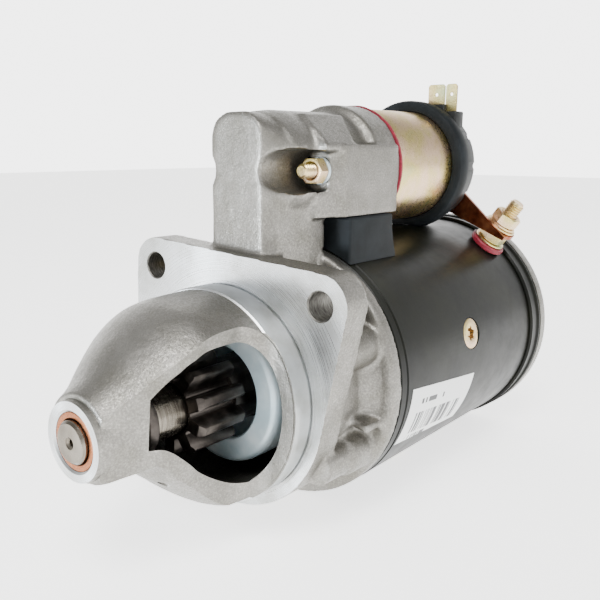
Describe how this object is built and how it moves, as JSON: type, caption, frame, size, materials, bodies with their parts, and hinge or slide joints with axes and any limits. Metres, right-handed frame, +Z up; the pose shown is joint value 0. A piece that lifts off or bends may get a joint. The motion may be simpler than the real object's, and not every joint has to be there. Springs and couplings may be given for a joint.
{
  "type": "starter motor",
  "caption": "Pre-engaged starter motor with a flanged nose, a side pinion window, and a solenoid that slides the pinion out along its shaft through a forked lever.",
  "frame": {"origin": "on the motor's axis, in the flange face that bolts to the engine", "axes": "+X along the shaft to the brush end, -X to the pinion nose, +Z up to the solenoid"},
  "size_m": [0.2814, 0.1203, 0.1911],
  "materials": {
    "cast_aluminium": "as cast, grainy",
    "black_paint": "satin",
    "yellow_zinc": "yellow zinc plated",
    "blue_zinc": "blue zinc plated",
    "bronze": "sintered bronze",
    "ground_steel": "ground, oiled",
    "dark_steel": "oiled",
    "laminated_steel": "bare",
    "copper": "copper, dull",
    "rubber": "moulded",
    "red_gasket": "dyed gasket",
    "black_moulding": "moulded thermoset",
    "carbon": "copper-carbon brush",
    "paper": "printed label"
  },
  "bodies": {
    "frame_and_case": {"drive_end_bracket": "cast_aluminium", "nose_bush": "bronze", "end_bush": "bronze", "centre_bearing_plate": "cast_aluminium", "lever_pivot_pin": "yellow_zinc", "return_spring": "dark_steel", "solenoid_can": "yellow_zinc", "solenoid_coil": "copper", "solenoid_gasket": "red_gasket", "solenoid_band": "rubber", "battery_terminal_stud": "copper", "battery_terminal_nut": "yellow_zinc", "motor_terminal_stud": "copper", "motor_terminal_nut": "yellow_zinc", "wide_blade_terminal": "yellow_zinc", "narrow_blade_terminal": "yellow_zinc", "terminal_cap": "black_moulding", "fixing_stud_window": "yellow_zinc", "fixing_stud_far": "yellow_zinc", "spring_washer_window": "blue_zinc", "spring_washer_far": "blue_zinc", "fixing_nut_window": "yellow_zinc", "fixing_nut_far": "yellow_zinc", "yoke": "black_paint", "through_bolt_window": "yellow_zinc", "through_bolt_far": "yellow_zinc", "rating_label": "paper", "splash_block": "rubber", "pole_shoe_1": "laminated_steel", "pole_shoe_2": "laminated_steel", "pole_shoe_3": "laminated_steel", "pole_shoe_4": "laminated_steel", "pole_screw_1": "yellow_zinc", "pole_screw_2": "yellow_zinc", "pole_screw_3": "yellow_zinc", "pole_screw_4": "yellow_zinc", "field_winding": "copper", "brush_1": "carbon", "brush_2": "carbon", "brush_3": "carbon", "brush_4": "carbon", "brush_plate": "blue_zinc", "cover_band": "black_paint", "end_bracket": "cast_aluminium", "field_terminal_stud": "yellow_zinc", "field_insulator": "red_gasket", "field_lower_nut": "yellow_zinc", "field_upper_nut": "yellow_zinc", "copper_strap": "copper"},
    "armature": {"armature_shaft": "ground_steel", "thrust_collar": "dark_steel", "armature_core": "laminated_steel", "armature_winding": "copper", "commutator": "copper"},
    "drive": {"clutch_shell": "blue_zinc", "drive_sleeve": "ground_steel"},
    "pinion_gear": {"pinion": "dark_steel"},
    "solenoid_plunger": {"plunger": "ground_steel"},
    "lever": {"engagement_lever": "dark_steel"},
    "contact": {"contact_disc": "copper"}
  },
  "joints": [
    {"name": "armature_spin", "type": "hinge", "parent": "frame_and_case", "child": "armature", "pos_m": [0, 0, 0], "axis": [1, 0, 0], "continuous": true},
    {"name": "plunger_slide", "type": "slide", "parent": "frame_and_case", "child": "solenoid_plunger", "axis": [1, 0, 0], "range_m": [0, 0.0105], "deforming": ["return_spring"]},
    {"name": "lever_swing", "type": "hinge", "parent": "frame_and_case", "child": "lever", "pos_m": [0.02375, 0, 0.05179], "axis": [0, 1, 0], "range_deg": [0, 16.09]},
    {"name": "drive_slide", "type": "slide", "parent": "armature", "child": "drive", "axis": [-1, 0, 0], "range_m": [0, 0.0145]},
    {"name": "pinion_overrun", "type": "hinge", "parent": "drive", "child": "pinion_gear", "pos_m": [0, 0, 0], "axis": [1, 0, 0], "continuous": true},
    {"name": "contact_slide", "type": "slide", "parent": "frame_and_case", "child": "contact", "axis": [1, 0, 0], "range_m": [0, 0.0025]}
  ],
  "couplings": [
    {"joint": "lever_swing", "follows": "plunger_slide", "rad_per_m": 26.748},
    {"joint": "drive_slide", "follows": "plunger_slide", "ratio": 1.381},
    {"joint": "contact_slide", "follows": "plunger_slide", "ratio": 0.2381}
  ]
}
